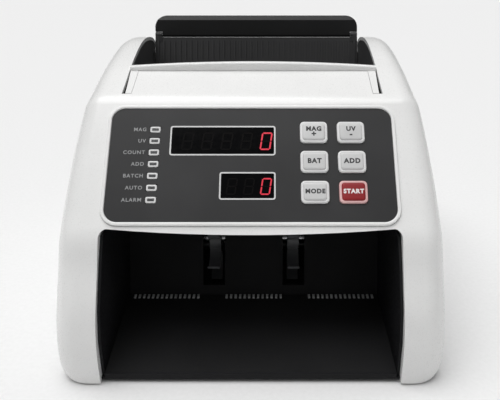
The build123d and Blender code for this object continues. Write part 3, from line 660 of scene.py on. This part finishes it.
def rollers(node, body, bore, hub, grooves, tyre, slot="feed_rubber"):
    """Turned tyres and hubs in place of a node's plain rollers; bore and hub are radii, mm."""
    mesh = bmesh.new()
    for low, high in solids(node):
        wide, radius = (high.x - low.x) / MM, (high.z - low.z) / 2 / MM
        middle = Matrix.Translation((low + high) / 2)
        lathe(mesh, roller_profile(wide, radius, bore, hub, grooves), middle)
    name = node + "_turned"
    new_piece(name, finish_mesh(name, mesh), body, [tyre, NATURAL_POM], slot, node)


# a foot's section as (height, radius), mm: a domed rim, straight sides and a stepped screw recess
FOOT_PROFILE = ((0, 2.6), (0, 6.3), (0.15, 6.9), (0.6, 7.3), (2.5, 7.5), (2.5, 0.4), (1.3, 0.4),
                (1.3, 2.6))


def feet():
    """Turned rubber feet with a screw recess."""
    mesh = bmesh.new()
    points = [(along * MM, radius * MM, 0) for along, radius in FOOT_PROFILE]
    upright = Matrix.Rotation(math.radians(-90), 4, "Y")
    for low, high in solids("rubber_feet"):
        foot = Vector(((low.x + high.x) / 2, (low.y + high.y) / 2, low.z))
        lathe(mesh, points, Matrix.Translation(foot) @ upright)
    new_piece("turned_feet", finish_mesh("turned_feet", mesh), "case", [RUBBER], "feed_rubber",
              "rubber_feet")


# each half of the switch: its mark, and where the face starts and ends as (depth, height), mm
ROCKER_FACES = (("I", (283.4, 33.0), (286.0, 42.2)), ("O", (283.9, 23.9), (283.4, 33.0)))


def rocker_marks():
    """On and off marks printed on the two halves of the power switch."""
    words = []
    for sign, start, end in ROCKER_FACES:
        up = Vector((0, end[0] - start[0], end[1] - start[1])).normalized()
        side = Vector((-1, 0, 0))
        out = side.cross(up)
        place = Matrix((side, up, out)).transposed().to_4x4()
        middle = Vector((0, FRONT + (start[0] + end[0]) / 2, (start[1] + end[1]) / 2))
        place.translation = middle * MM + out * INK_THICK / 2
        words.append(text_mesh(sign, 3.6 * MM, place, 0.06 * MM))
    new_piece("rocker_marks", join("rocker_marks", words), "power_rocker", [INK_WHITE],
              "black_gloss_plastic")


comb()
# node, body, bore, hub, grooves, tyre
rollers("feed_rollers", "feed_drum", 5.0, 15.0, 5, RUBBER)
rollers("pickup_rollers", "pickup_drum", 4.0, 9.0, 4, RUBBER)
rollers("transport_rollers", "transport_drum", 4.0, 8.6, 4, RUBBER)
rollers("pinch_rollers", "pinch_drum", 2.5, 5.6, 1, GREY_POM, "grey_plastic")
rollers("separator_rollers", "separator", 1.8, 5.6, 2, RUBBER)
feet()
rocker_marks()


# ---------------------------------------------------------------- stage, light and camera

def floor():
    """Plain pale paper, far wider than any view."""
    bpy.ops.mesh.primitive_plane_add(size=80, location=(0, 0, CAD_BOX[0].z))
    sheet = bpy.context.object
    sheet.name = "floor"
    sheet.data.materials.append(surface("pale_paper", "#EDEDED", "#F1F1F1", 3, 0.8, (0.86, 0.94), 0.01,
                                        shine=0.1))


def sky():
    """Soft light that is brightest overhead, before a plain pale backdrop."""
    dim, bright, backdrop = 0.08, 0.85, 0.9
    world = bpy.data.worlds.new("soft_sky")
    bpy.context.scene.world = world
    world.use_nodes = True
    tree = world.node_tree
    way = add(tree, "ShaderNodeTexCoord").outputs["Generated"]
    up = add(tree, "ShaderNodeSeparateXYZ", {0: way}).outputs[2]
    steep = add(tree, "ShaderNodeMath", {0: up, 1: 2.0}, operation="POWER").outputs[0]
    glow = add(tree, "ShaderNodeMapRange", {"Value": steep, "To Min": dim, "To Max": bright}).outputs[0]
    seen = add(tree, "ShaderNodeLightPath").outputs["Is Camera Ray"]
    plain = add(tree, "ShaderNodeMath", {0: seen, 1: backdrop}, operation="MULTIPLY").outputs[0]
    both = add(tree, "ShaderNodeMath", {0: glow, 1: plain}, operation="MAXIMUM").outputs[0]
    tree.links.new(both, tree.nodes["Background"].inputs["Strength"])
    tree.nodes["Background"].inputs["Color"].default_value = linear("#FFFFFF")


def key_light():
    """One broad light from high on the left, a little behind the machine."""
    light = bpy.data.lights.new("key_light", "SUN")
    light.energy = 1.8
    light.angle = math.radians(50)
    lamp = bpy.data.objects.new("key_light", light)
    bpy.context.scene.collection.objects.link(lamp)
    lamp.rotation_euler = Vector((0.22, -0.12, -1)).to_track_quat("-Z", "Y").to_euler()


def camera():
    """A close lens a little right of the middle, looking 24 degrees down on the panel."""
    data = bpy.data.cameras.new("camera")
    data.sensor_width = 36
    data.lens = 44.64
    data.shift_x = -0.0408
    eye = bpy.data.objects.new("camera", data)
    bpy.context.scene.collection.objects.link(eye)
    eye.location = (13 * MM, CAD_BOX[0].y - 324.2 * MM, 278.3 * MM)
    eye.rotation_euler = (math.radians(90 - 24), 0, 0)
    bpy.context.scene.camera = eye


floor()
sky()
key_light()
camera()
bpy.context.scene.view_settings.view_transform = "Standard"
